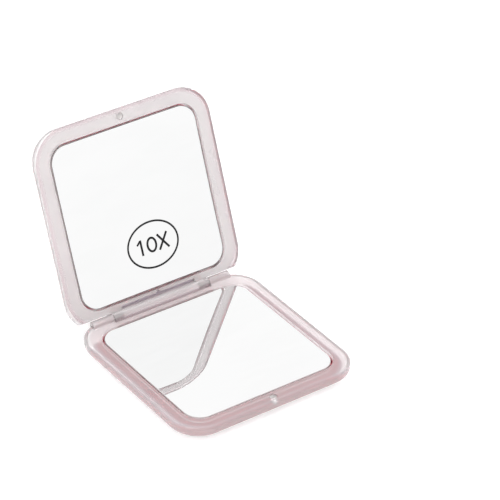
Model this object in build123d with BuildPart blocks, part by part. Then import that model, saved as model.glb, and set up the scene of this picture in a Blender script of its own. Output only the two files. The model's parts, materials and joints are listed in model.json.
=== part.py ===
from build123d import *
from math import atan2, cos, degrees, radians, sin
import os

# A folding pocket mirror. The base half lies on the table and the lid half stands open behind it.
# The origin is on the table under the middle of the base, +Z is up, the hinge runs along X and
# the front of the mirror faces -Y.

# ---- casing halves ----
case_width = 85.0
case_depth = 85.0
half_thickness = 5.0
corner_radius = 13.5
outer_edge_radius = 3.0
parting_edge_radius = 1.2
parting_gap = 0.3
open_angle = 111.8
open_limit_angle = 120.0

# ---- rims, pocket, colour panel, adhesive pad and mirror ----
side_rim = 7.6
front_rim = 7.2
back_rim = 8.0
floor_thickness = 1.4
mirror_corner_radius = 7.5
mirror_thickness = 2.0
mirror_chamfer = 0.2
mirror_groove = 0.85
pocket_floor_fillet = 0.3
pocket_mouth_fillet = 0.25
panel_thickness = 0.5
panel_clearance = 0.35
pad_margin = 3.0
base_mirror_recess = 0.3
lid_mirror_recess = 0.5
lid_mirror_curve_radius = 1200.0

# ---- hinge: two ears on the base, one long knuckle on the lid, two pins ----
barrel_radius = 2.1
ear_end_inset = 8.7
ear_length = 10.0
side_clearance = 0.3
ear_notch_clearance = 0.25
knuckle_notch_clearance = 0.8
stop_clearance = 0.05
pin_radius = 0.75
pin_sink = 0.5
pin_reach = 4.5
pin_chamfer = 0.15
pin_running_clearance = 0.05
pin_end_clearance = 0.35
slot_end_wall = 0.45
slot_width = 1.7
slot_depth = 3.2
gate_radius = 0.9

# ---- catch magnets ----
magnet_radius = 1.5
magnet_thickness = 2.5
magnet_recess = 0.1
magnet_inset = 3.2
magnet_chamfer = 0.2

# ---- printed magnification mark on the lid mirror ----
print_thickness = 0.08
mark_x = 2.6
mark_height = 17.7
ring_radius = 10.5
ring_stroke = 0.55
figure_height = 6.7
figure_stroke = 0.75
figure_drop = 0.4
one_x = -5.6
flag_length = 2.8
flag_angle = 38.0
nought_x = -1.1
nought_width = 4.4
times_x = 4.8
times_width = 5.3

# ---- sizes that follow from the ones above ----
mirror_width = case_width - 2 * side_rim
mirror_depth = case_depth - front_rim - back_rim
mirror_shift = (front_rim - back_rim) / 2
pocket_width = mirror_width + 2 * mirror_groove
pocket_length = mirror_depth + 2 * mirror_groove
pocket_corner_radius = mirror_corner_radius + mirror_groove
pocket_depth = half_thickness - floor_thickness
panel_width = pocket_width - 2 * panel_clearance
panel_length = pocket_length - 2 * panel_clearance
panel_corner_radius = pocket_corner_radius - panel_clearance
pad_width = mirror_width - 2 * pad_margin
pad_length = mirror_depth - 2 * pad_margin
pad_corner_radius = mirror_corner_radius - pad_margin
stack_room = pocket_depth - panel_thickness - mirror_thickness
base_pad_thickness = stack_room - base_mirror_recess
lid_pad_thickness = stack_room - lid_mirror_recess

back_edge = case_depth / 2
hinge_y = back_edge - barrel_radius
hinge_z = half_thickness + parting_gap / 2
ear_outer = case_width / 2 - ear_end_inset
ear_inner = ear_outer - ear_length
knuckle_half_width = ear_inner - side_clearance
ear_notch_depth = 2 * barrel_radius + ear_notch_clearance
knuckle_notch_depth = 2 * barrel_radius + knuckle_notch_clearance
web_height = half_thickness / 2
pin_length = ear_length - pin_sink + side_clearance + pin_reach
pin_outer = ear_outer - pin_sink
pin_inner = pin_outer - pin_length
bore_inner = pin_inner - pin_end_clearance
slot_half_width = bore_inner - slot_end_wall

# The lid's rounded heel swings under the hinge as it opens. The floor left under the knuckle
# sits just below the lowest point the heel reaches, so it stops the lid at the open limit.
lid_face = parting_gap / 2
heel_back = outer_edge_radius - barrel_radius
heel_up = lid_face + half_thickness - outer_edge_radius
limit = radians(open_limit_angle)
heel_drop = outer_edge_radius - heel_back * sin(limit) - heel_up * cos(limit)
knuckle_notch_floor = hinge_z - heel_drop - stop_clearance

magnet_y = -case_depth / 2 + magnet_inset
panel_level = lid_face + pocket_depth
mirror_half_diagonal = (mirror_width**2 + mirror_depth**2) ** 0.5 / 2
mirror_corner_reach = mirror_half_diagonal - mirror_corner_radius * (2**0.5 - 1)
mirror_sag = mirror_corner_reach**2 / (2 * lid_mirror_curve_radius)
mark_from_hinge = hinge_y - mirror_shift - mirror_depth / 2 + mark_height
times_lean = degrees(atan2(figure_height, times_width))
times_length = (times_width**2 + figure_height**2) ** 0.5 - figure_stroke

# ---- planes of the open lid, all starting on the hinge axis ----
# lid_outward points from the parting face of the lid to its outer face.
open_sine = sin(radians(open_angle))
open_cosine = cos(radians(open_angle))
lid_outward = (0, open_sine, open_cosine)
lid_inward = (0, -open_sine, -open_cosine)
hinge_point = (0, hinge_y, hinge_z)
lid_plane = Plane(origin=hinge_point, x_dir=(1, 0, 0), z_dir=lid_outward)
lid_reading_plane = Plane(origin=hinge_point, x_dir=(1, 0, 0), z_dir=lid_inward)
lid_side_plane = Plane(origin=hinge_point, x_dir=(0, open_cosine, -open_sine), z_dir=(1, 0, 0))
lid_axis = Axis(hinge_point, lid_outward)
lid_mirror_y = mirror_shift - hinge_y
curve_centre_z = lid_face + lid_mirror_recess + mirror_sag - lid_mirror_curve_radius
curve_centre = lid_plane.location * Location((0, lid_mirror_y, curve_centre_z))

# ---- blank for the two ears, trimmed to the outline of the casing ----
with BuildPart() as ear_blank:
    with BuildSketch(Plane.YZ.offset(ear_inner), Plane.YZ.offset(-ear_outer)):
        with Locations((hinge_y, hinge_z)):
            Circle(barrel_radius)
            Rectangle(2 * barrel_radius, web_height, align=(Align.CENTER, Align.MAX))
    extrude(amount=ear_length)
    with BuildSketch(Plane.XY):
        RectangleRounded(case_width, case_depth, corner_radius)
    extrude(amount=2 * half_thickness, mode=Mode.INTERSECT)

# ---- base casing: a clear half shell with a mirror pocket, two ears and a notch for the knuckle ----
with BuildPart() as base_shell:
    with BuildSketch(Plane.XY):
        RectangleRounded(case_width, case_depth, corner_radius)
    extrude(amount=half_thickness)
    fillet(base_shell.faces().sort_by(Axis.Z)[0].edges(), outer_edge_radius)
    fillet(base_shell.faces().sort_by(Axis.Z)[-1].edges(), parting_edge_radius)
    with BuildSketch(Plane.XY.offset(floor_thickness)):
        with Locations((0, mirror_shift)):
            RectangleRounded(pocket_width, pocket_length, pocket_corner_radius)
    extrude(amount=pocket_depth, mode=Mode.SUBTRACT)
    pocket_floor = base_shell.faces().filter_by(Axis.Z).sort_by(Axis.Z)[1]
    fillet(pocket_floor.edges(), pocket_floor_fillet)
    pocket_mouth = base_shell.faces().sort_by(Axis.Z)[-1].inner_wires()[0]
    fillet(pocket_mouth.edges(), pocket_mouth_fillet)
    with BuildSketch(Plane.XY.offset(knuckle_notch_floor)):
        with Locations((0, back_edge)):
            Rectangle(2 * ear_inner, 2 * knuckle_notch_depth)
    extrude(amount=half_thickness, mode=Mode.SUBTRACT)
    add(ear_blank.part)
    with BuildSketch(Plane.YZ.offset(ear_inner), Plane.YZ.offset(-ear_outer)):
        with Locations((hinge_y, hinge_z)):
            Circle(pin_radius)
    extrude(amount=ear_length, mode=Mode.SUBTRACT)
    with BuildSketch(Plane.XY.offset(half_thickness)):
        with Locations((0, magnet_y)):
            Circle(magnet_radius)
    extrude(amount=-(magnet_thickness + magnet_recess), mode=Mode.SUBTRACT)

# ---- base colour panel ----
with BuildPart() as base_colour_panel:
    with BuildSketch(Plane.XY.offset(floor_thickness)):
        with Locations((0, mirror_shift)):
            RectangleRounded(panel_width, panel_length, panel_corner_radius)
    extrude(amount=panel_thickness)

# ---- base adhesive pad ----
with BuildPart() as base_adhesive_pad:
    with BuildSketch(Plane.XY.offset(floor_thickness + panel_thickness)):
        with Locations((0, mirror_shift)):
            RectangleRounded(pad_width, pad_length, pad_corner_radius)
    extrude(amount=base_pad_thickness)

# ---- base mirror: a flat plate with a ground front edge ----
with BuildPart() as base_mirror:
    with BuildSketch(Plane.XY.offset(half_thickness - base_mirror_recess)):
        with Locations((0, mirror_shift)):
            RectangleRounded(mirror_width, mirror_depth, mirror_corner_radius)
    extrude(amount=-mirror_thickness)
    chamfer(base_mirror.faces().sort_by(Axis.Z)[-1].edges(), mirror_chamfer)

# ---- base catch magnet ----
with BuildPart() as base_magnet:
    with BuildSketch(Plane.XY.offset(half_thickness - magnet_recess)):
        with Locations((0, magnet_y)):
            Circle(magnet_radius)
    extrude(amount=-magnet_thickness)
    chamfer(base_magnet.faces().sort_by(Axis.Z)[-1].edges(), magnet_chamfer)

# ---- hinge pins, pressed into the ears and running in the knuckle ----
with BuildPart() as hinge_pin_right:
    with BuildSketch(Plane.YZ.offset(pin_inner)):
        with Locations((hinge_y, hinge_z)):
            Circle(pin_radius)
    extrude(amount=pin_length)
    chamfer(hinge_pin_right.edges().filter_by(GeomType.CIRCLE), pin_chamfer)

with BuildPart() as hinge_pin_left:
    with BuildSketch(Plane.YZ.offset(-pin_outer)):
        with Locations((hinge_y, hinge_z)):
            Circle(pin_radius)
    extrude(amount=pin_length)
    chamfer(hinge_pin_left.edges().filter_by(GeomType.CIRCLE), pin_chamfer)

# ---- lid casing: the same half shell turned over, with notches for the ears and one knuckle ----
with BuildPart() as lid_shell:
    with BuildSketch(lid_plane.offset(lid_face)):
        with Locations((0, -hinge_y)):
            RectangleRounded(case_width, case_depth, corner_radius)
    extrude(amount=half_thickness)
    fillet(lid_shell.faces().sort_by(lid_axis)[-1].edges(), outer_edge_radius)
    fillet(lid_shell.faces().sort_by(lid_axis)[0].edges(), parting_edge_radius)
    with BuildSketch(lid_plane.offset(panel_level)):
        with Locations((0, lid_mirror_y)):
            RectangleRounded(pocket_width, pocket_length, pocket_corner_radius)
    extrude(amount=-pocket_depth, mode=Mode.SUBTRACT)
    lid_pocket_floor = lid_shell.faces().filter_by(lid_axis).sort_by(lid_axis)[-2]
    fillet(lid_pocket_floor.edges(), pocket_floor_fillet)
    lid_pocket_mouth = lid_shell.faces().sort_by(lid_axis)[0].inner_wires()[0]
    fillet(lid_pocket_mouth.edges(), pocket_mouth_fillet)
    with BuildSketch(lid_side_plane.offset(-knuckle_half_width)):
        Circle(barrel_radius)
        Rectangle(2 * barrel_radius, web_height, align=(Align.CENTER, Align.MIN))
    extrude(amount=2 * knuckle_half_width)
    with BuildSketch(lid_plane):
        for side in (-1, 1):
            with Locations((side * case_width / 2, barrel_radius)):
                Rectangle(case_width - 2 * knuckle_half_width, 2 * ear_notch_depth)
    extrude(amount=2 * half_thickness, mode=Mode.SUBTRACT)
    with BuildSketch(lid_plane):
        with Locations((0, -barrel_radius)):
            Rectangle(2 * slot_half_width, slot_width, align=(Align.CENTER, Align.MAX))
        with Locations((0, -barrel_radius - slot_width)):
            Circle(gate_radius)
    extrude(amount=lid_face + slot_depth, mode=Mode.SUBTRACT)
    with BuildSketch(lid_side_plane.offset(bore_inner), lid_side_plane.offset(-knuckle_half_width)):
        Circle(pin_radius + pin_running_clearance)
    extrude(amount=knuckle_half_width - bore_inner, mode=Mode.SUBTRACT)
    with BuildSketch(lid_plane.offset(lid_face)):
        with Locations((0, magnet_y - hinge_y)):
            Circle(magnet_radius)
    extrude(amount=magnet_thickness + magnet_recess, mode=Mode.SUBTRACT)

# ---- lid colour panel ----
with BuildPart() as lid_colour_panel:
    with BuildSketch(lid_plane.offset(panel_level)):
        with Locations((0, lid_mirror_y)):
            RectangleRounded(panel_width, panel_length, panel_corner_radius)
    extrude(amount=-panel_thickness)

# ---- lid adhesive pad ----
with BuildPart() as lid_adhesive_pad:
    with BuildSketch(lid_plane.offset(panel_level - panel_thickness)):
        with Locations((0, lid_mirror_y)):
            RectangleRounded(pad_width, pad_length, pad_corner_radius)
    extrude(amount=-lid_pad_thickness)

# ---- lid mirror: a plate whose front is dished to a shallow sphere ----
with BuildPart() as lid_mirror:
    with BuildSketch(lid_plane.offset(lid_face + lid_mirror_recess)):
        with Locations((0, lid_mirror_y)):
            RectangleRounded(mirror_width, mirror_depth, mirror_corner_radius)
    extrude(amount=mirror_thickness)
    with Locations(curve_centre):
        Sphere(lid_mirror_curve_radius, mode=Mode.SUBTRACT)

# ---- lid catch magnet ----
with BuildPart() as lid_magnet:
    with BuildSketch(lid_plane.offset(lid_face + magnet_recess)):
        with Locations((0, magnet_y - hinge_y)):
            Circle(magnet_radius)
    extrude(amount=magnet_thickness)
    chamfer(lid_magnet.faces().sort_by(lid_axis)[0].edges(), magnet_chamfer)

# ---- magnification mark: a thin print that follows the dish of the lid mirror ----
with BuildPart() as magnification_mark:
    with BuildSketch(lid_reading_plane.offset(-lid_face - lid_mirror_recess - mirror_thickness)):
        with Locations((mark_x, mark_from_hinge)):
            Circle(ring_radius + ring_stroke / 2)
            Circle(ring_radius - ring_stroke / 2, mode=Mode.SUBTRACT)
        with Locations((mark_x, mark_from_hinge - figure_drop)):
            with Locations((nought_x, 0)):
                Ellipse(nought_width / 2, figure_height / 2)
                Ellipse(
                    nought_width / 2 - figure_stroke,
                    figure_height / 2 - figure_stroke,
                    mode=Mode.SUBTRACT,
                )
            with Locations((one_x, 0)):
                Rectangle(figure_stroke, figure_height)
            with Locations((one_x + figure_stroke / 2, figure_height / 2)):
                Rectangle(flag_length, figure_stroke, rotation=flag_angle, align=(Align.MAX, Align.MAX))
            with Locations((times_x, 0)):
                Rectangle(times_length, figure_stroke, rotation=times_lean)
                Rectangle(times_length, figure_stroke, rotation=-times_lean)
    extrude(amount=mirror_thickness)
    with Locations(curve_centre):
        Sphere(lid_mirror_curve_radius, mode=Mode.INTERSECT)
        Sphere(lid_mirror_curve_radius - print_thickness, mode=Mode.SUBTRACT)

# ---- one STEP file for each piece ----
os.makedirs("parts", exist_ok=True)
pieces = {
    "base_shell": base_shell,
    "base_colour_panel": base_colour_panel,
    "base_adhesive_pad": base_adhesive_pad,
    "base_mirror": base_mirror,
    "base_magnet": base_magnet,
    "hinge_pin_left": hinge_pin_left,
    "hinge_pin_right": hinge_pin_right,
    "lid_shell": lid_shell,
    "lid_colour_panel": lid_colour_panel,
    "lid_adhesive_pad": lid_adhesive_pad,
    "lid_mirror": lid_mirror,
    "lid_magnet": lid_magnet,
    "magnification_mark": magnification_mark,
}
for name, piece in pieces.items():
    piece.part.label = name
    export_step(piece.part, f"parts/{name}.step")
    print(name, round(piece.part.volume, 3), "mm3,", len(piece.part.solids()), "solid(s)")
print("floor under the knuckle at", round(knuckle_notch_floor, 3), "mm")
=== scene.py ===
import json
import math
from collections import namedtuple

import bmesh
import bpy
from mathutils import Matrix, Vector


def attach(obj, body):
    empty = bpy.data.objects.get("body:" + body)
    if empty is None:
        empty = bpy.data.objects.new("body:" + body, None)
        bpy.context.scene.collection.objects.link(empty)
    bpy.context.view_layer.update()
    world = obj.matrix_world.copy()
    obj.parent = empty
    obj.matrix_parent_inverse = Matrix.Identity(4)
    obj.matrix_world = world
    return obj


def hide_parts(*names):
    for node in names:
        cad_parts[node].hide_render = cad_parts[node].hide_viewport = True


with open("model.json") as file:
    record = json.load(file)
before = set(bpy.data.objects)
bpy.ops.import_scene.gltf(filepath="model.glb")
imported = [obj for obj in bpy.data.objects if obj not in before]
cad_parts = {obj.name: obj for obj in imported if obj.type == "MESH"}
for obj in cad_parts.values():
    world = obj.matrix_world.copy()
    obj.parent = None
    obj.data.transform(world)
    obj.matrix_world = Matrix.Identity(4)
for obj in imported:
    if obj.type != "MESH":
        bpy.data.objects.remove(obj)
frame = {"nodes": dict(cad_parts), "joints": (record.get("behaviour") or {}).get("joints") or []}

# %% [markdown]
# # A folding pocket mirror
#
# The object is a square compact: two clear moulded halves joined by a pin hinge along the back.
# Each half holds a salmon pink sheet behind a mirror plate. The base mirror is flat and the lid
# mirror is dished for magnifying. The frame has just been loaded, so every CAD piece is already
# in its place, in metres. This lesson gives each piece its finish, rebuilds the few pieces whose
# faces touch the clear plastic, and then sets up the light and the camera.

bpy.context.view_layer.update()
nodes = frame["nodes"]
MM = 0.001
print("pieces from the CAD:", sorted(nodes))

# %% [markdown]
# ## Directions of the two halves
#
# The base lies flat, so its directions are the world's. The lid stands open, so its own outward
# and backward directions are tilted. They could be typed in as an angle, but the hinge joint
# already knows how far it has to turn to shut. Turning the world's directions by that angle gives
# the lid's. Each half keeps its three directions and a starting point together, so that one
# function can serve both.

# %% Turn the closed lid's directions by the hinge angle
Half = namedtuple("Half", "across back outward origin")
world_x, world_y, world_z = Vector((1, 0, 0)), Vector((0, 1, 0)), Vector((0, 0, 1))
zero = Vector((0.0, 0.0, 0.0))
hinge = frame["joints"][0]
hinge_point = Vector(hinge["pos_m"])
open_angle = math.radians(-hinge["range_deg"][0])
opening = Matrix.Rotation(open_angle, 3, Vector(hinge["axis"]))
base_half = Half(world_x, world_y, -world_z, zero)
lid_half = Half(world_x, opening @ world_y, opening @ world_z, hinge_point)
print("lid opened by", round(math.degrees(open_angle), 1), "degrees")
print("the lid's outward direction is", lid_half.outward)

# %% [markdown]
# ## Measuring pieces
#
# The sizes of the CAD pieces are measured from the pieces themselves, so a new size in the CAD
# carries through.
# A piece is measured by how far its points reach along a direction, which works just as well for
# the tilted lid as for the base.

# %% Measure pieces along any direction
def extent(node, direction, origin=zero):
    """Lowest and highest reach of a CAD node along a direction, measured from a point."""
    reach = [(vertex.co - origin).dot(direction) for vertex in nodes[node].data.vertices]
    return min(reach), max(reach)


def outline_of(node, half):
    """Centre, width and length of a piece, seen square on to its flat side."""
    low_x, high_x = extent(node, half.across, half.origin)
    low_y, high_y = extent(node, half.back, half.origin)
    centre = half.origin + half.across * (low_x + high_x) / 2 + half.back * (low_y + high_y) / 2
    return centre, high_x - low_x, high_y - low_y


for name, half in (("base_mirror", base_half), ("lid_mirror", lid_half)):
    middle, width, length = outline_of(name, half)
    print(name, "is", round(width / MM, 2), "by", round(length / MM, 2), "mm")

# %% [markdown]
# ## Writing shaders as sums
#
# A material is a graph of nodes. Wiring it by hand hides the thought behind it, so one small
# class wraps an output socket and lets Python's own operators add the Math nodes. Then
# `1 - mask * 0.5` builds what it says. Colours and directions go through Mix and Vector Math
# nodes, and every other node comes from one method, `add`.

# %% A socket that can be written into sums
class Wire:
    """An output socket of a shader node, usable in Python expressions."""

    def __init__(self, tree, socket=None):
        self.tree = tree
        self.socket = socket

    def add(self, kind, settings=None, sockets=None, out=0):
        """Adds a node, sets its settings first and then its sockets, and wraps one output."""
        node = self.tree.nodes.new(kind)
        for name, value in (settings or {}).items():
            if name == "stops":
                self.place_stops(node.color_ramp, value)
            else:
                setattr(node, name, value)
        for name, value in (sockets or {}).items():
            self.feed(node.inputs[name], value)
        return Wire(self.tree, node.outputs[out] if len(node.outputs) else None)

    def place_stops(self, ramp, stops):
        """Gives a colour ramp its stops, each a place from 0 to 1 and a colour."""
        while len(ramp.elements) < len(stops):
            ramp.elements.new(0.5)
        for element, (place, colour) in zip(ramp.elements, stops):
            element.position = place
            element.color = (*colour, 1.0)

    def feed(self, target, value):
        """Links a wire into a socket, or sets a plain value on it."""
        if isinstance(value, Wire):
            self.tree.links.new(value.socket, target)
        elif target.type == "RGBA" and len(value) == 3:
            target.default_value = (*value, 1.0)
        else:
            target.default_value = value

    def maths(self, operation, first, second=0.0):
        return self.add("ShaderNodeMath", {"operation": operation}, {0: first, 1: second})

    def __add__(self, other):
        return self.maths("ADD", self, other)

    def __sub__(self, other):
        return self.maths("SUBTRACT", self, other)

    def __rsub__(self, other):
        return self.maths("SUBTRACT", other, self)

    def __mul__(self, other):
        return self.maths("MULTIPLY", self, other)

    def __pow__(self, other):
        return self.maths("POWER", self, other)

    def __abs__(self):
        return self.maths("ABSOLUTE", self)

    __radd__ = __add__
    __rmul__ = __mul__

    def larger(self, other):
        return self.maths("MAXIMUM", self, other)

    def smaller(self, other):
        return self.maths("MINIMUM", self, other)

    def ramp(self, low, high):
        """0 below low, 1 above high, and a smooth rise between them."""
        settings = {"interpolation_type": "SMOOTHSTEP"}
        sockets = {"Value": self, "From Min": low, "From Max": high}
        return self.add("ShaderNodeMapRange", settings, sockets)

    def mix(self, below, above):
        """A colour: below where this value is 0, above where it is 1."""
        sockets = {0: self, 6: below, 7: above}
        return self.add("ShaderNodeMix", {"data_type": "RGBA"}, sockets, out=2)

    def minus(self, vector):
        settings = {"operation": "SUBTRACT"}
        return self.add("ShaderNodeVectorMath", settings, {0: self, 1: vector})

    def dot(self, vector):
        settings = {"operation": "DOT_PRODUCT"}
        return self.add("ShaderNodeVectorMath", settings, {0: self, 1: vector}, out="Value")

    def noise(self, scale, detail=3.0, roughness=0.5, stretch=None):
        """Soft cloudy variation. Scale is in features per metre."""
        where = self
        if stretch:
            where = self.add("ShaderNodeMapping", {}, {"Vector": self, "Scale": stretch})
        sockets = {"Vector": where, "Scale": scale, "Detail": detail, "Roughness": roughness}
        return self.add("ShaderNodeTexNoise", {}, sockets)

    def bump(self, distance, strength=1.0):
        """Turns a height value into a tilted normal. Distance is in metres."""
        sockets = {"Height": self, "Distance": distance, "Strength": strength}
        return self.add("ShaderNodeBump", {}, sockets)


# %% Start, finish and apply a material
def new_material(name):
    """Returns an empty material and a wire that carries each point's place on its own piece."""
    material = bpy.data.materials.new(name)
    material.use_nodes = True
    material.node_tree.nodes.clear()
    place = Wire(material.node_tree).add("ShaderNodeTexCoord", out="Object")
    return material, place


def surface(place, **sockets):
    """Ends a material with one Principled shader. Socket names have _ in place of spaces."""
    named = {key.replace("_", " "): value for key, value in sockets.items()}
    shader = place.add("ShaderNodeBsdfPrincipled", {"distribution": "MULTI_GGX"}, named)
    place.add("ShaderNodeOutputMaterial", {}, {"Surface": shader})


def dress(piece, material):
    """Gives a piece one material in its first slot."""
    if piece.data.materials:
        piece.data.materials[0] = material
    else:
        piece.data.materials.append(material)
    print(piece.name, "wears", material.name)


# %% Distance from a rounded outline, as a wire
def rounded_distance(place, node, half, radius):
    """Signed distance in metres from a piece's rounded outline, negative inside it."""
    centre, width, length = outline_of(node, half)
    offset = place.minus(centre)
    over_x = abs(offset.dot(half.across)) - (width / 2 - radius)
    over_y = abs(offset.dot(half.back)) - (length / 2 - radius)
    outside_x, outside_y = over_x.larger(0.0), over_y.larger(0.0)
    corner = (outside_x * outside_x + outside_y * outside_y) ** 0.5
    return corner + over_x.larger(over_y).smaller(0.0) - radius


# %% [markdown]
# ## Clear moulded acrylic
#
# The halves are injection moulded acrylic, almost colourless, which bends light like glass. A mix
# of transparency and gloss would look like a thin film, so the plastic is a real refracting solid:
# light enters, bounces off the pink sheet inside and leaves elsewhere, which helps to tint the
# rims. About a third of it is made milky. That keeps the rims free of grain with few samples, at
# the price of a paler pink wherever the sheet is seen through the plastic. Fine haze changes the
# roughness, and a very low bump gives the slight waviness of a moulded face. Real acrylic has one
# tint. Here the tint goes in zones by distance from the sheet's outline, as painted shade and
# light, because a plain studio has none of the surroundings that the rims of the real object pick
# up: a nearly clear window over the sheet, a rim greyed by painted shade (pinker on the base), a
# band of painted shade near the edge (dark mauve on the lid), and a painted lighter outer wall.

# %% Acrylic for both halves
ACRYLIC_IOR = 1.49
BASE_CLARITY = 0.685
LID_CLARITY = 0.69
SHEET_CORNER = 8.0 * MM
WINDOW_TINT = (0.985, 0.95, 0.95)
# Painted shade: the rim tints grey the rims, pinker on the base; the edge tints give a paler grey
# band on the base and a dark mauve band on the lid. The wall tint is painted light.
BASE_RIM_SHADE_TINTS = ((0.82, 0.745, 0.755), (0.85, 0.78, 0.79))
LID_RIM_SHADE_TINTS = ((0.66, 0.625, 0.63), (0.69, 0.66, 0.66))
BASE_EDGE_SHADE_TINT = (0.88, 0.86, 0.865)
LID_EDGE_SHADE_TINT = (0.66, 0.56, 0.585)
WALL_LIGHT_TINT = (0.97, 0.955, 0.96)
RIM_BAND = (-0.6 * MM, 0.6 * MM)
EDGE_BAND = (4.6 * MM, 6.2 * MM)
WALL_BAND = (6.75 * MM, 7.0 * MM)
WAVE_HEIGHT = 0.012 * MM


def clear_acrylic(name, node, half, rim_shade_tints, edge_shade_tint, clarity):
    """Acrylic whose zones of painted shade and light follow the outline of the sheet it holds."""
    material, place = new_material(name)
    distance = rounded_distance(place, node, half, SHEET_CORNER)
    clouds = place.noise(60.0, detail=2.0).ramp(0.35, 0.7)
    haze = place.noise(260.0, detail=2.0).ramp(0.35, 0.7)
    waviness = place.noise(140.0, detail=1.0)
    # Painted shade over the rim and near the edge, painted light on the outer wall.
    to_edge = distance.ramp(*EDGE_BAND).mix(clouds.mix(*rim_shade_tints), edge_shade_tint)
    to_wall = distance.ramp(*WALL_BAND).mix(to_edge, WALL_LIGHT_TINT)
    surface(
        place,
        Base_Color=distance.ramp(*RIM_BAND).mix(WINDOW_TINT, to_wall),
        Roughness=0.012 + haze * 0.012,
        IOR=ACRYLIC_IOR,
        Transmission_Weight=clarity,
        Normal=waviness.bump(WAVE_HEIGHT),
    )
    return material


base_zones = ("base_colour_panel", base_half, BASE_RIM_SHADE_TINTS, BASE_EDGE_SHADE_TINT, BASE_CLARITY)
lid_zones = ("lid_colour_panel", lid_half, LID_RIM_SHADE_TINTS, LID_EDGE_SHADE_TINT, LID_CLARITY)
dress(nodes["base_shell"], clear_acrylic("acrylic_base", *base_zones))
dress(nodes["lid_shell"], clear_acrylic("acrylic_lid", *lid_zones))

# %% [markdown]
# ## Helpers for thin plates and turned pieces
#
# The pink sheets, the magnets and the pins touch the clear plastic. Two faces in exactly the same
# place confuse a ray tracer, which can't tell which one comes first. So these pieces are rebuilt
# here: the sheet reaches a hair into the plastic, as if it were glued with no air behind it, and
# the metal pieces are a hair thinner than their holes, so the hole walls glitter as they do with
# air behind them. All of them are made the same way, as a skin over a stack of rings.

# %% A rounded rectangle outline
SIDES = (((1, 1), (-1, 0)), ((-1, 1), (0, -1)), ((-1, -1), (1, 0)), ((1, -1), (0, 1)))


def rounded_outline(width, length, radius, steps=14, along=1):
    """Points round a rectangle with round corners, with extra points along each straight side."""
    points = []
    for corner, ((side_x, side_y), travel) in enumerate(SIDES):
        centre_x = side_x * (width / 2 - radius)
        centre_y = side_y * (length / 2 - radius)
        for step in range(steps + 1):
            turn = math.pi / 2 * (corner + step / steps)
            reach_x, reach_y = radius * math.cos(turn), radius * math.sin(turn)
            points.append((centre_x + reach_x, centre_y + reach_y))
        straight = (width, length)[corner % 2] - 2 * radius
        start, travel = Vector(points[-1]), Vector(travel)
        points += [tuple(start + travel * straight * step / along) for step in range(1, along)]
    return points


def lay_out(outline, centre, half, level):
    """Places flat outline points in space, level metres out from the centre."""
    base = centre + half.outward * level
    return [base + half.across * x + half.back * y for x, y in outline]


# %% Make a mesh object from rings of points
def object_from_rings(name, rings, close_ends=True):
    """Joins rings of equal length into a closed skin, with a face over each end."""
    mesh = bpy.data.meshes.new(name)
    build = bmesh.new()
    loops = [[build.verts.new(point) for point in ring] for ring in rings]
    for lower, upper in zip(loops, loops[1:]):
        for here in range(len(lower)):
            following = (here + 1) % len(lower)
            build.faces.new((lower[here], lower[following], upper[following], upper[here]))
    if close_ends:
        build.faces.new(list(reversed(loops[0])))
        build.faces.new(loops[-1])
    bmesh.ops.recalc_face_normals(build, faces=build.faces)
    build.to_mesh(mesh)
    build.free()
    piece = bpy.data.objects.new(name, mesh)
    bpy.context.scene.collection.objects.link(piece)
    print(name, "has", len(rings), "rings and", len(mesh.polygons), "faces")
    return piece


def smooth_by_angle(piece, degrees=35.0):
    """Soft shading across gentle edges and crisp shading at sharp ones."""
    for face in piece.data.polygons:
        face.use_smooth = True
    piece.data.set_sharp_from_angle(angle=math.radians(degrees))


# %% [markdown]
# ## Salmon pink colour sheet
#
# Behind each mirror lies a thin sheet, printed salmon pink. It shows through the clear outer face
# as the colour of the whole compact. In the base the sheet also runs up the pocket's wall, as a
# thin lining coloured with painted shade, because the rim round it looks pink when seen at a
# slant. The sheet's place comes from its CAD node, laid out along the directions of its own half.

# %% Tray geometry
SHEET_BITE = 0.02 * MM
SHEET_BEVEL = 0.1 * MM
GROOVE_WALL = 0.35 * MM
LINING_THICKNESS = 0.25 * MM
LINING_DEPTH = 1.4 * MM
PARTING_HALF_GAP = 0.15 * MM


def colour_tray(name, node, body, half, parting_face=None):
    """A thin sheet, with a low wall round it if the level of the parting face is given."""
    inner, outer = extent(node, half.outward, half.origin)
    outer += SHEET_BITE
    centre, width, length = outline_of(node, half)
    steps = ((-SHEET_BEVEL, inner), (0.0, inner + SHEET_BEVEL), (0.0, outer))
    if parting_face is not None:
        rim = parting_face + LINING_DEPTH
        wall = GROOVE_WALL + SHEET_BITE
        inside = wall - LINING_THICKNESS
        steps = (
            (inside - 1.0 * MM, inner),
            (inside - 0.2 * MM, inner),
            (inside, inner - 0.2 * MM),
            (inside, rim),
            (wall, rim),
            (wall, outer),
        )
    rings = []
    for grow, level in steps:
        outline = rounded_outline(width + 2 * grow, length + 2 * grow, SHEET_CORNER + grow)
        rings.append(lay_out(outline, centre, half, level))
    piece = object_from_rings(name, rings)
    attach(piece, body)
    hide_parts(node)
    print(name, "is", round(width / MM, 1), "by", round(length / MM, 1), "mm")
    return piece


base_parting = PARTING_HALF_GAP - hinge_point.z
base_sheet = colour_tray("base_pink_tray", "base_colour_panel", "base", base_half, base_parting)
lid_sheet = colour_tray("lid_pink_sheet", "lid_colour_panel", "lid", lid_half)

# %% [markdown]
# ## Painted shade film in the rim
#
# The clear rim of the base looks pink on the side nearest the viewer and stays clear on the far
# side, where the pink sheet, in shade, is seen through the plastic. That is painted here: a thin
# film just inside the outer face, where a slanting look through the parting face lands, coloured
# with painted shade, a shaded pink. That could be the sheet mirrored inside the rim, or print
# that reaches into it. The second is simpler to build: a thin film just inside the outer face,
# where a slanting look through the parting face lands. It is pink above and pale below, so the
# underside of the compact still shows a pale rim round its pink middle.

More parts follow.
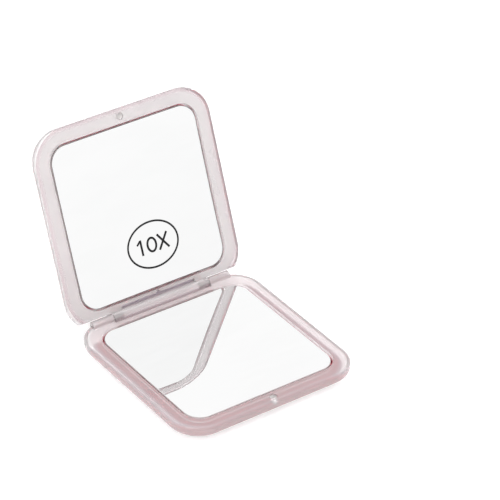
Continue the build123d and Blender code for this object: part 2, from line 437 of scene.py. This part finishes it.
# %% Ring of film in the base rim
FILM_LEVELS = (0.25 * MM, 0.40 * MM)
FILM_REACH = (0.45 * MM, 4.1 * MM)


def rim_shade_film():
    """A flat ring with a rectangular section, round the sheet of the base."""
    centre, width, length = outline_of("base_colour_panel", base_half)
    (under, top), (near, far) = FILM_LEVELS, FILM_REACH
    rings = []
    for grow, level in ((near, top), (far, top), (far, under), (near, under)):
        outline = rounded_outline(width + 2 * grow, length + 2 * grow, SHEET_CORNER + grow)
        rings.append(lay_out(outline, centre, base_half, -level))
    rings.append(rings[0])
    piece = object_from_rings("base_rim_shade_film", rings, close_ends=False)
    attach(piece, "base")
    return piece


# The film is a sheet of painted shade: the pink sheet as seen in shade through the near rim.
base_shade_film = rim_shade_film()

# %% [markdown]
# ## Two strips at the hinge
#
# Between the two ears, the lid's rim shows a faint pink band and then a mauve line. Both are
# painted: the band is a thin strip low under the rim, painted pink for the sheet's light seen
# through the rim, and the line is a strip of painted shade in the long slot that keeps the
# knuckle's wall thin. Both are partly see-through, because a solid strip would shut the light out
# of the rim.

# %% Strips along the knuckle
Strip = namedtuple("Strip", "half_width near far top under")
SHEET_LIGHT_STRIP = Strip(22.6 * MM, -4.9 * MM, -0.9 * MM, 4.6 * MM, 4.75 * MM)
MAUVE_SHADE_STRIP = Strip(18.05 * MM, -3.72 * MM, -2.18 * MM, 2.0 * MM, 2.1 * MM)
STRIP_BEVEL = 0.03 * MM
STRIP_CORNER = 0.4 * MM


def knuckle_strip(name, strip):
    """A thin strip under the lid's rim, placed from the hinge axis in the lid's directions."""
    centre = hinge_point + lid_half.back * (strip.near + strip.far) / 2
    width, length = 2 * strip.half_width, strip.far - strip.near
    middle = (strip.top + strip.under) / 2
    rings = []
    for inset, level in ((STRIP_BEVEL, strip.top), (0.0, middle), (STRIP_BEVEL, strip.under)):
        outline = rounded_outline(width - 2 * inset, length - 2 * inset, STRIP_CORNER, steps=4)
        rings.append(lay_out(outline, centre, lid_half, level))
    piece = object_from_rings(name, rings)
    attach(piece, "lid")
    return piece


# Painted light: a pink strip for the sheet's light seen through the rim. Painted shade: a mauve strip
# in the slot.
hinge_sheet_light = knuckle_strip("lid_hinge_painted_light", SHEET_LIGHT_STRIP)
slot_shade_strip = knuckle_strip("lid_slot_painted_shade", MAUVE_SHADE_STRIP)

# %% [markdown]
# ## Print on the sheets, and painted shade round them
#
# The print is slightly mottled and turns cooler and paler towards the sheet's edges. Outside the
# sheet's outline, on the base's lining and on the rim film, the colour is painted shade: the pink
# as it looks in shade under the rim, a greyer pink which fades to mauve and then to pale near the
# outer edge. On the film it stops short of the hinge, where the rim is pale. The distance from
# the sheet's outline drives it all, so the colours follow the round corners.

# %% Pink print
PINK = (0.93, 0.235, 0.26)
PINK_LIGHT = (0.95, 0.30, 0.33)
PINK_EDGE = (0.94, 0.31, 0.37)
# Painted shade for the lining and the rim film: the sheet's pink in shade, fading to mauve and then
# pale outward.
SHADED_PINK = (0.50, 0.10, 0.13)
SHADED_PINK_LIGHT = (0.54, 0.13, 0.16)
MAUVE_SHADE_PINK = (0.50, 0.29, 0.35)
PALE_SHADE_PINK = (0.66, 0.52, 0.57)
COOLER_BAND = (-11.0 * MM, 0.0)
OUTLINE_BAND = (0.0, 0.1 * MM)
FADE_BAND = (2.3 * MM, 3.1 * MM)
PALE_BAND = (3.2 * MM, 3.7 * MM)
FILM_END = (30.0 * MM, 34.0 * MM)


def short_of_hinge(place):
    """1 over the front and the sides, fading to 0 before the hinge."""
    return 1.0 - place.dot(world_y).ramp(*FILM_END)


def sheet_print_and_shade(name, node, half, cover=None):
    """Bright pink print over the sheet, and painted shade, a greyer pink, outside its outline."""
    material, place = new_material(name)
    distance = rounded_distance(place, node, half, SHEET_CORNER)
    mottle = place.noise(55.0, detail=3.0, roughness=0.55).ramp(0.35, 0.68)
    grain = place.noise(1500.0, detail=2.0)
    inside = distance.ramp(*COOLER_BAND).mix(mottle.mix(PINK, PINK_LIGHT), PINK_EDGE)
    # Painted shade outside the sheet's outline, on the lining and the film.
    shaded = mottle.mix(SHADED_PINK, SHADED_PINK_LIGHT)
    mauve_shade = distance.ramp(*FADE_BAND).mix(shaded, MAUVE_SHADE_PINK)
    outside = distance.ramp(*PALE_BAND).mix(mauve_shade, PALE_SHADE_PINK)
    surface(
        place,
        Base_Color=distance.ramp(*OUTLINE_BAND).mix(inside, outside),
        Roughness=0.42 + grain * 0.12,
        Alpha=cover(place) if cover else 1.0,
        Normal=grain.bump(0.003 * MM),
    )
    return material


dress(base_sheet, sheet_print_and_shade("sheet_print_and_shade_base", "base_colour_panel", base_half))
dress(base_shade_film, sheet_print_and_shade("painted_shade_film", "base_colour_panel", base_half, short_of_hinge))
dress(lid_sheet, sheet_print_and_shade("pink_print_lid", "lid_colour_panel", lid_half))

# %% Plain matt colour: painted light and shade for the strips, and the film's pale underside
SHEET_LIGHT_COVER = 0.16
MAUVE_SHADE_COVER = 0.6


def matt_tint(name, low, high, cover=1.0):
    """A matt colour: painted pink light and mauve shade on the strips, and a pale underside for the
    film. Cover is its opacity, as a number or as a function of the place.
    """
    material, place = new_material(name)
    mottle = place.noise(120.0, detail=2.0)
    surface(
        place,
        Base_Color=mottle.ramp(0.35, 0.7).mix(low, high),
        Roughness=0.5 + mottle * 0.1,
        Alpha=cover(place) if callable(cover) else cover,
        Normal=mottle.bump(0.01 * MM),
    )
    return material


# Painted pink light on the hinge strip and painted mauve shade in the slot.
dress(hinge_sheet_light, matt_tint("pink_painted_light", (0.94, 0.36, 0.40), (0.96, 0.42, 0.46), SHEET_LIGHT_COVER))
dress(slot_shade_strip, matt_tint("mauve_painted_shade", (0.62, 0.52, 0.60), (0.68, 0.58, 0.66), MAUVE_SHADE_COVER))
backing_pinks = ((0.90, 0.78, 0.79), (0.93, 0.84, 0.84))
base_shade_film.data.materials.append(matt_tint("pale_backing", *backing_pinks, short_of_hinge))
for face in base_shade_film.data.polygons:
    if face.normal.z < -0.5:
        face.material_index = 1
pale_faces = sum(face.material_index for face in base_shade_film.data.polygons)
print("pale faces under the rim film:", pale_faces)

# %% [markdown]
# ## Mirror plates
#
# A mirror is a smooth metal film behind or on a clear plate. Seen from the front it is simply a
# sharp, nearly colourless reflection. What makes it read as a plate is its border: the edge is
# painted black behind, which shows as a fine dark line all the way round. The line follows the
# plate's own outline, so it is drawn from the distance to that outline. The ground side of the
# plate is a dull grey, found by depth on the flat plate and by distance on the dished one.

# %% Mirror finish with a dark painted border
MIRROR_CORNER = 7.5 * MM
BASE_BORDER = 0.14 * MM
LID_BORDER = 0.2 * MM
BORDER_FADE = 0.1 * MM
BORDER_WANDER = 0.1
FLAT_SIDE = (0.05 * MM, 0.12 * MM)
DISH_SIDE_INSET = 0.03 * MM
DISH_SIDE_FADE = 0.02 * MM
SILVER = (0.968, 0.97, 0.97)
SILVER_WORN = (0.958, 0.96, 0.96)
BORDER_PAINT = (0.07, 0.06, 0.058)
BORDER_PAINT_WORN = (0.14, 0.12, 0.12)
GROUND_EDGE = (0.62, 0.57, 0.57)


def mirror_finish(name, node, half, border_width, flat):
    """Silver with a dark border line and a ground side."""
    material, place = new_material(name)
    distance = rounded_distance(place, node, half, MIRROR_CORNER)
    face = extent(node, half.outward, half.origin)[0]
    wander = place.noise(250.0, detail=2.0) * BORDER_WANDER * MM
    border = (distance + wander).ramp(-border_width, -border_width + BORDER_FADE)
    if flat:
        depth = place.minus(half.origin).dot(half.outward) - face
        side = depth.ramp(*FLAT_SIDE) * border
    else:
        side = (distance + DISH_SIDE_INSET).ramp(0.0, DISH_SIDE_FADE)
    painted = border.larger(side)
    streaks = place.noise(35.0, detail=2.0, stretch=(1.0, 3.0, 3.0)).ramp(0.4, 0.7)
    smudge = place.noise(70.0, detail=4.0, roughness=0.6).ramp(0.55, 0.85)
    speckle = place.noise(2600.0, detail=2.0).ramp(0.4, 0.7)
    silver = streaks.mix(SILVER, SILVER_WORN)
    paint = side.mix(speckle.mix(BORDER_PAINT, BORDER_PAINT_WORN), GROUND_EDGE)
    surface(
        place,
        Base_Color=painted.mix(silver, paint),
        Metallic=1.0 - painted,
        Roughness=0.004 + smudge * 0.012 + painted * 0.3,
    )
    print(name, "has a dark border", round(border_width / MM, 2), "mm wide")
    return material


flat_mirror = mirror_finish("flat_mirror", "base_mirror", base_half, BASE_BORDER, flat=True)
dress(nodes["base_mirror"], flat_mirror)

# %% [markdown]
# ## A truly smooth dish
#
# The lid mirror magnifies because its face is a shallow bowl. A mirror shows every fault in a
# mesh, so this plate is rebuilt from closely spaced rings whose depth comes from one sphere. The
# radius of the sphere is the one the CAD used.

# %% Dished mirror plate
DISH_RADIUS = 1.2
DISH_RINGS = 30
DISH_MIDDLE = 0.002
DISH_RIM = 0.998
DISH_BEVEL = 0.07 * MM
mirror_low_x, mirror_high_x = extent("lid_mirror", lid_half.across, hinge_point)
mirror_low_y, mirror_high_y = extent("lid_mirror", lid_half.back, hinge_point)
mirror_front, mirror_reverse = extent("lid_mirror", lid_half.outward, hinge_point)
mirror_side = mirror_high_x - mirror_low_x
mirror_x, mirror_y = (mirror_low_x + mirror_high_x) / 2, (mirror_low_y + mirror_high_y) / 2
corner_reach = math.sqrt(2) * (mirror_side / 2 - MIRROR_CORNER) + MIRROR_CORNER


def sphere_drop(distance):
    """How far a sphere falls away from its tip, at a distance to the side of it."""
    return DISH_RADIUS - math.sqrt(DISH_RADIUS**2 - distance**2)


def on_lid(x, y, depth):
    """A point x across and y back from the mirror's middle, depth out from the hinge axis."""
    across_part = lid_half.across * (mirror_x + x)
    return hinge_point + across_part + lid_half.back * (mirror_y + y) + lid_half.outward * depth


def on_dish(x, y, lift=0.0):
    """A point on the bowl, at x and y from its middle, lifted towards the viewer."""
    depth = mirror_front + sphere_drop(corner_reach) - sphere_drop(math.hypot(x, y)) - lift
    return on_lid(x, y, depth)


def dished_plate():
    """The bowl as rings from its middle out, then a small bevel and a flat reverse."""
    outline = rounded_outline(mirror_side, mirror_side, MIRROR_CORNER, steps=16, along=28)
    parts = [DISH_MIDDLE] + [step / DISH_RINGS for step in range(1, DISH_RINGS)] + [DISH_RIM]
    rings = [[on_dish(x * part, y * part) for x, y in outline] for part in parts]
    rings.append([on_dish(x, y, -DISH_BEVEL) for x, y in outline])
    rings.append([on_lid(x, y, mirror_reverse) for x, y in outline])
    return object_from_rings("dished_mirror_plate", rings)


lid_plate = dished_plate()
smooth_by_angle(lid_plate, 25.0)
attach(lid_plate, "lid")
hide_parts("lid_mirror")
dress(lid_plate, mirror_finish("dished_mirror", "lid_mirror", lid_half, LID_BORDER, flat=False))
print("dish is", round(sphere_drop(corner_reach) / MM, 2), "mm deep")

# %% [markdown]
# ## Adhesive pads
#
# Each mirror is stuck to its sheet with a double-sided foam pad. The pads are hidden once the
# mirror is in, but the finish is still real: white open foam with small cells.

# %% White foam
FOAM = (0.86, 0.86, 0.83)
FOAM_SHADOW = (0.62, 0.61, 0.58)
FOAM_CELLS = 2200.0
CELL_DEPTH = 0.08 * MM


def white_foam():
    material, place = new_material("white_foam")
    sockets = {"Vector": place, "Scale": FOAM_CELLS}
    cells = place.add("ShaderNodeTexVoronoi", {}, sockets, out="Distance")
    surface(
        place,
        Base_Color=cells.ramp(0.2, 0.7).mix(FOAM, FOAM_SHADOW),
        Roughness=0.85 + cells * 0.1,
        Normal=cells.bump(CELL_DEPTH, 0.5),
    )
    return material


foam = white_foam()
for name in ("base_adhesive_pad", "lid_adhesive_pad"):
    dress(nodes[name], foam)

# %% [markdown]
# ## Pins and magnets
#
# These are turned or pressed metal pieces, so each is made as a lathe would make it: a profile
# swept round an axis. The profile has a small bevel at each end. The pins are drawn steel wire
# with fine lines along their length, and the magnets are plated with nickel.

# %% Turn a profile round an axis
TURNING_STEPS = 48
HOLE_AIR = 0.02 * MM


def turned_piece(name, node, body, along, bevel):
    """A bevelled cylinder where a CAD node is, a hair thinner than it."""
    helper = world_x if abs(along.x) < 0.5 else world_y
    side = along.cross(helper).normalized()
    other = along.cross(side)
    low, high = extent(node, along)
    low_s, high_s = extent(node, side)
    low_o, high_o = extent(node, other)
    radius = (high_s - low_s) / 2 - HOLE_AIR
    centre = side * (low_s + high_s) / 2 + other * (low_o + high_o) / 2
    profile = (
        (low, radius - bevel),
        (low + bevel * 0.3, radius - bevel * 0.3),
        (low + bevel, radius),
        (high - bevel, radius),
        (high - bevel * 0.3, radius - bevel * 0.3),
        (high, radius - bevel),
    )
    turns = [2 * math.pi * step / TURNING_STEPS for step in range(TURNING_STEPS)]
    spokes = [side * math.cos(turn) + other * math.sin(turn) for turn in turns]
    rings = [[centre + along * level + spoke * reach for spoke in spokes] for level, reach in profile]
    piece = object_from_rings(name, rings)
    smooth_by_angle(piece)
    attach(piece, body)
    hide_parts(node)
    thick, long = round(2 * radius / MM, 2), round((high - low) / MM, 2)
    print(name, "is", thick, "mm thick and", long, "mm long")
    return piece


# %% Drawn steel for the pins
STEEL = (0.84, 0.79, 0.79)
STEEL_DARK = (0.70, 0.64, 0.64)
PIN_BEVEL = 0.15 * MM


def drawn_steel():
    material, place = new_material("drawn_steel")
    lines = place.noise(900.0, detail=3.0, stretch=(0.04, 6.0, 6.0))
    stain = place.noise(240.0, detail=2.0).ramp(0.4, 0.75)
    surface(
        place,
        Base_Color=stain.mix(STEEL, STEEL_DARK),
        Metallic=1.0,
        Roughness=0.24 + lines * 0.16,
        Normal=lines.bump(0.01 * MM, 0.6),
    )
    return material


steel = drawn_steel()
for side in ("left", "right"):
    node = "hinge_pin_" + side
    pin = turned_piece("steel_pin_" + side, node, "base", world_x, PIN_BEVEL)
    dress(pin, steel)

# %% Nickel for the magnets
NICKEL = (0.66, 0.63, 0.62)
NICKEL_DULL = (0.50, 0.47, 0.47)
MAGNET_BEVEL = 0.2 * MM


def nickel_plate():
    material, place = new_material("nickel_plate")
    bloom = place.noise(700.0, detail=3.0).ramp(0.35, 0.7)
    tumble = place.noise(4000.0, detail=2.0)
    surface(
        place,
        Base_Color=bloom.mix(NICKEL, NICKEL_DULL),
        Metallic=1.0,
        Roughness=0.22 + tumble * 0.15,
        Normal=tumble.bump(0.006 * MM, 0.6),
    )
    return material


nickel = nickel_plate()
for body, along in (("base", world_z), ("lid", lid_half.outward)):
    node = body + "_magnet"
    magnet = turned_piece(body + "_nickel_magnet", node, body, along, MAGNET_BEVEL)
    dress(magnet, nickel)

# %% [markdown]
# ## Magnification mark
#
# The mark is black ink printed on the dished mirror: an oval ring round a number and a times
# sign. Screen-printed ink is nearly flat black, with a faint unevenness where it is thinner. Each
# stroke is a raised band that follows the bowl, so the ink never floats or sinks.

# %% Black ink
INK = (0.012, 0.012, 0.013)
INK_THIN = (0.045, 0.043, 0.045)


def black_ink():
    material, place = new_material("black_ink")
    thin = place.noise(1800.0, detail=3.0).ramp(0.5, 0.8)
    surface(
        place,
        Base_Color=thin.mix(INK, INK_THIN),
        Roughness=0.5 + thin * 0.2,
        Specular_IOR_Level=0.15,
        Normal=thin.bump(0.004 * MM),
    )
    return material


ink = black_ink()
print("ink is", ink.name)

# %% Strokes of ink laid on the dish
INK_THICKNESS = 0.08 * MM
MARK_NUDGE = 0.4 * MM
mark_low_x, mark_high_x = extent("magnification_mark", lid_half.across, hinge_point)
mark_low_y, mark_high_y = extent("magnification_mark", lid_half.back, hinge_point)
mark_x = (mark_low_x + mark_high_x) / 2 - mirror_x + MARK_NUDGE
mark_y = (mark_low_y + mark_high_y) / 2 - mirror_y
print("mark sits", round(mark_x / MM, 2), "and", round(mark_y / MM, 2), "mm from the middle")


def ink_strip(build, left_side, right_side, closed):
    """A raised band between two rows of points, given as x to the right and y up the lid."""
    rows = []
    for (left_x, left_y), (right_x, right_y) in zip(left_side, right_side):
        left = (mark_x + left_x, mark_y - left_y)
        right = (mark_x + right_x, mark_y - right_y)
        places = (left, 0.0), (right, 0.0), (right, INK_THICKNESS), (left, INK_THICKNESS)
        rows.append([build.verts.new(on_dish(*spot, lift)) for spot, lift in places])
    pairs = list(zip(rows, rows[1:]))
    if closed:
        pairs.append((rows[-1], rows[0]))
    else:
        build.faces.new(rows[0])
        build.faces.new(rows[-1])
    for here, after in pairs:
        for side in range(4):
            other = (side + 1) % 4
            build.faces.new((here[side], here[other], after[other], after[side]))


def ink_oval(build, centre_x, reach_x, reach_y, stroke, steps=96):
    """A closed band round an oval, with its stroke centred on the oval's line."""
    inside, outside = [], []
    for step in range(steps):
        turn = 2 * math.pi * step / steps
        for grow, row in ((-stroke / 2, inside), (stroke / 2, outside)):
            x, y = (reach_x + grow) * math.cos(turn), (reach_y + grow) * math.sin(turn)
            row.append((centre_x + x, y))
    ink_strip(build, inside, outside, closed=True)


def ink_bar(build, start, end, stroke, steps=8):
    """A straight band from start to end."""
    run = Vector(end) - Vector(start)
    aside = Vector((-run.y, run.x)).normalized() * stroke / 2
    middle = [Vector(start) + run * step / steps for step in range(steps + 1)]
    left_side, right_side = [spot + aside for spot in middle], [spot - aside for spot in middle]
    ink_strip(build, left_side, right_side, closed=False)


# %% The ring, the number and the times sign
RING_REACH = (12.1 * MM, 9.6 * MM)
RING_STROKE = 0.8 * MM
FIGURE_STROKE = 0.95 * MM
FIGURE_HALF = 3.35
NOUGHT_X = -0.6 * MM
NOUGHT_REACH = 2.05 * MM
BARS = (
    ((-5.6, -FIGURE_HALF), (-5.6, FIGURE_HALF), 1.0),
    ((-5.75, FIGURE_HALF - 0.3), (-7.5, FIGURE_HALF - 1.9), 0.85),
    ((2.6, -FIGURE_HALF), (7.3, FIGURE_HALF), 1.0),
    ((2.6, FIGURE_HALF), (7.3, -FIGURE_HALF), 1.0),
)


def magnification_mark():
    mesh = bpy.data.meshes.new("times_ten_mark")
    build = bmesh.new()
    nought_height = FIGURE_HALF * MM - FIGURE_STROKE / 2
    ink_oval(build, 0.0, RING_REACH[0], RING_REACH[1], RING_STROKE)
    ink_oval(build, NOUGHT_X, NOUGHT_REACH, nought_height, FIGURE_STROKE)
    for start, end, weight in BARS:
        ink_bar(build, Vector(start) * MM, Vector(end) * MM, FIGURE_STROKE * weight)
    bmesh.ops.recalc_face_normals(build, faces=build.faces)
    build.to_mesh(mesh)
    build.free()
    piece = bpy.data.objects.new("times_ten_mark", mesh)
    bpy.context.scene.collection.objects.link(piece)
    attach(piece, "lid")
    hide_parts("magnification_mark")
    return piece


mark = magnification_mark()
mark.visible_glossy = False
dress(mark, ink)
print("mark ring is", [round(2 * reach / MM, 1) for reach in RING_REACH], "mm across and high")

# %% [markdown]
# ## Floor and light
#
# A mirror shows whatever is round it, so the studio is as important as the finish. A white sweep
# under the object and a pale sky all round keep both mirrors clean and bright. The floor lies a
# little below the object and glows faintly, so that no hard shadow edges the clear rims. The sky
# is a little dimmer low down and brighter overhead, which gives the lid mirror its gentle fall
# from white to pale grey.

# %% White floor
FLOOR_SIZE = 60.0
FLOOR_DROP = 2.0 * MM
FLOOR_GLOW = 0.45
PAPER = (0.72, 0.72, 0.72)
PAPER_LIGHT = (0.73, 0.73, 0.73)
floor_mesh = bpy.data.meshes.new("floor")
build = bmesh.new()
bmesh.ops.create_grid(build, x_segments=24, y_segments=24, size=FLOOR_SIZE / 2)
build.to_mesh(floor_mesh)
build.free()
floor = bpy.data.objects.new("floor", floor_mesh)
bpy.context.scene.collection.objects.link(floor)
floor.location.z = -FLOOR_DROP


def white_sweep():
    material, place = new_material("white_sweep")
    paper = place.noise(30.0, detail=3.0)
    surface(
        place,
        Base_Color=paper.ramp(0.3, 0.7).mix(PAPER, PAPER_LIGHT),
        Roughness=0.9,
        Specular_IOR_Level=0.0,
        Emission_Color=(1.0, 1.0, 1.0),
        Emission_Strength=FLOOR_GLOW,
        Normal=paper.bump(0.02 * MM),
    )
    return material


dress(floor, white_sweep())
print("floor is", FLOOR_SIZE, "m wide and", round(FLOOR_DROP / MM, 1), "mm below the object")

# %% Pale sky
SKY_STOPS = (
    (0.0, (1.06, 1.06, 1.06)),
    (0.07, (1.0, 1.0, 1.0)),
    (0.16, (0.95, 0.95, 0.95)),
    (0.56, (1.0, 1.0, 1.0)),
    (0.90, (0.98, 0.98, 0.98)),
    (0.96, (4.5, 4.5, 4.5)),
)
world = bpy.data.worlds.new("studio")
bpy.context.scene.world = world
world.use_nodes = True
world.node_tree.nodes.clear()
sky = Wire(world.node_tree).add("ShaderNodeTexCoord", out="Generated")
height = sky.dot(world_z)
glow = height.add("ShaderNodeValToRGB", {"stops": SKY_STOPS}, {"Fac": height})
background = sky.add("ShaderNodeBackground", {}, {"Color": glow, "Strength": 1.0})
sky.add("ShaderNodeOutputWorld", {}, {"Surface": background})
print("sky has", len(SKY_STOPS), "steps of brightness from the horizon to overhead")

# %% [markdown]
# ## Camera
#
# The camera is a long lens a little over a metre away, turned about 35 degrees round to the left
# and looking down by 34 degrees. It stands back from a point in the middle of the object along
# that direction. A small shift places the object left of centre without tilting the view.

# %% A long lens
AROUND = -34.69
DOWN = 34.06
ROLL = 0.38
STAND_OFF = 1.1182
LENS = 200.7
SHIFT = (0.1083, 0.0386)
AIM = Vector((0.0, 0.015, 0.035))
around, down, roll = (math.radians(angle) for angle in (AROUND, DOWN, ROLL))
level_part = math.cos(down)
back = Vector((math.sin(around) * level_part, -math.cos(around) * level_part, math.sin(down)))
camera_data = bpy.data.cameras.new("camera")
camera_data.lens = LENS
camera_data.sensor_width = 36.0
camera_data.shift_x, camera_data.shift_y = SHIFT
camera_data.clip_start, camera_data.clip_end = 0.01, 50.0
camera = bpy.data.objects.new("camera", camera_data)
camera.location = AIM + back * STAND_OFF
turn = (-back).to_track_quat("-Z", "Y").to_matrix() @ Matrix.Rotation(roll, 3, "Z")
camera.rotation_mode = "QUATERNION"
camera.rotation_quaternion = turn.to_quaternion()
bpy.context.scene.collection.objects.link(camera)
bpy.context.scene.camera = camera
print("camera at", camera.location)

# %% Plain colours and enough bounces for light inside the plastic
bpy.context.scene.view_settings.view_transform = "Standard"
bpy.context.scene.cycles.max_bounces = 20
bpy.context.scene.cycles.transmission_bounces = 20
bpy.context.scene.cycles.glossy_bounces = 10
print("light may bounce", bpy.context.scene.cycles.max_bounces, "times")

# %% Update the scene and finish
bpy.context.view_layer.update()
